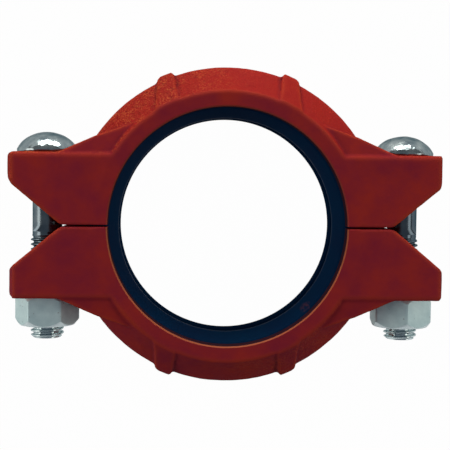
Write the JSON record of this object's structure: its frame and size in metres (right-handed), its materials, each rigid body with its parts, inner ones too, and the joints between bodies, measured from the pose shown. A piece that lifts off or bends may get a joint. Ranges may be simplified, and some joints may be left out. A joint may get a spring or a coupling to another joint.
{
  "type": "flexible grooved pipe coupling",
  "caption": "Two-segment bolted pipe coupling ring with flat ears, raised ribs and an inner rubber seal, clamping grooved pipe ends.",
  "frame": {"origin": "centre of the bore at mid width, which is also the centre of the bounding box", "axes": "+Z along the pipe axis towards the face seen in the picture, +X from ear to ear (right in the picture), +Y towards the bolt heads (up in the picture); the part lies on its back face at Z = -26 mm"},
  "size_m": [0.2082, 0.15, 0.052],
  "materials": {
    "housing_paint": "satin paint over rough casting",
    "gasket_rubber": "matte",
    "bolt_zinc": "bright zinc plate",
    "nut_zinc": "dull zinc plate"
  },
  "bodies": {
    "nut_side": {"nut_side_housing": "housing_paint", "gasket": "gasket_rubber"},
    "head_side": {"head_side_housing": "housing_paint", "left_bolt": "bolt_zinc", "right_bolt": "bolt_zinc"},
    "left_nut": {"left_nut": "nut_zinc"},
    "right_nut": {"right_nut": "nut_zinc"}
  },
  "joints": [
    {"name": "left_nut_turn", "type": "hinge", "parent": "nut_side", "child": "left_nut", "pos_m": [-0.086, -0.0413, 0], "axis": [0, -1, 0], "range_deg": [-94, 2881]},
    {"name": "right_nut_turn", "type": "hinge", "parent": "nut_side", "child": "right_nut", "pos_m": [0.086, -0.0413, 0], "axis": [0, -1, 0], "range_deg": [-94, 2881]},
    {"name": "housing_slide", "type": "slide", "parent": "nut_side", "child": "head_side", "axis": [0, 1, 0], "range_m": [-0.0006, 0.01847]}
  ],
  "couplings": [
    {"joint": "left_nut_turn", "follows": "housing_slide", "rad_per_m": 2721.1},
    {"joint": "right_nut_turn", "follows": "housing_slide", "rad_per_m": 2721.1}
  ]
}
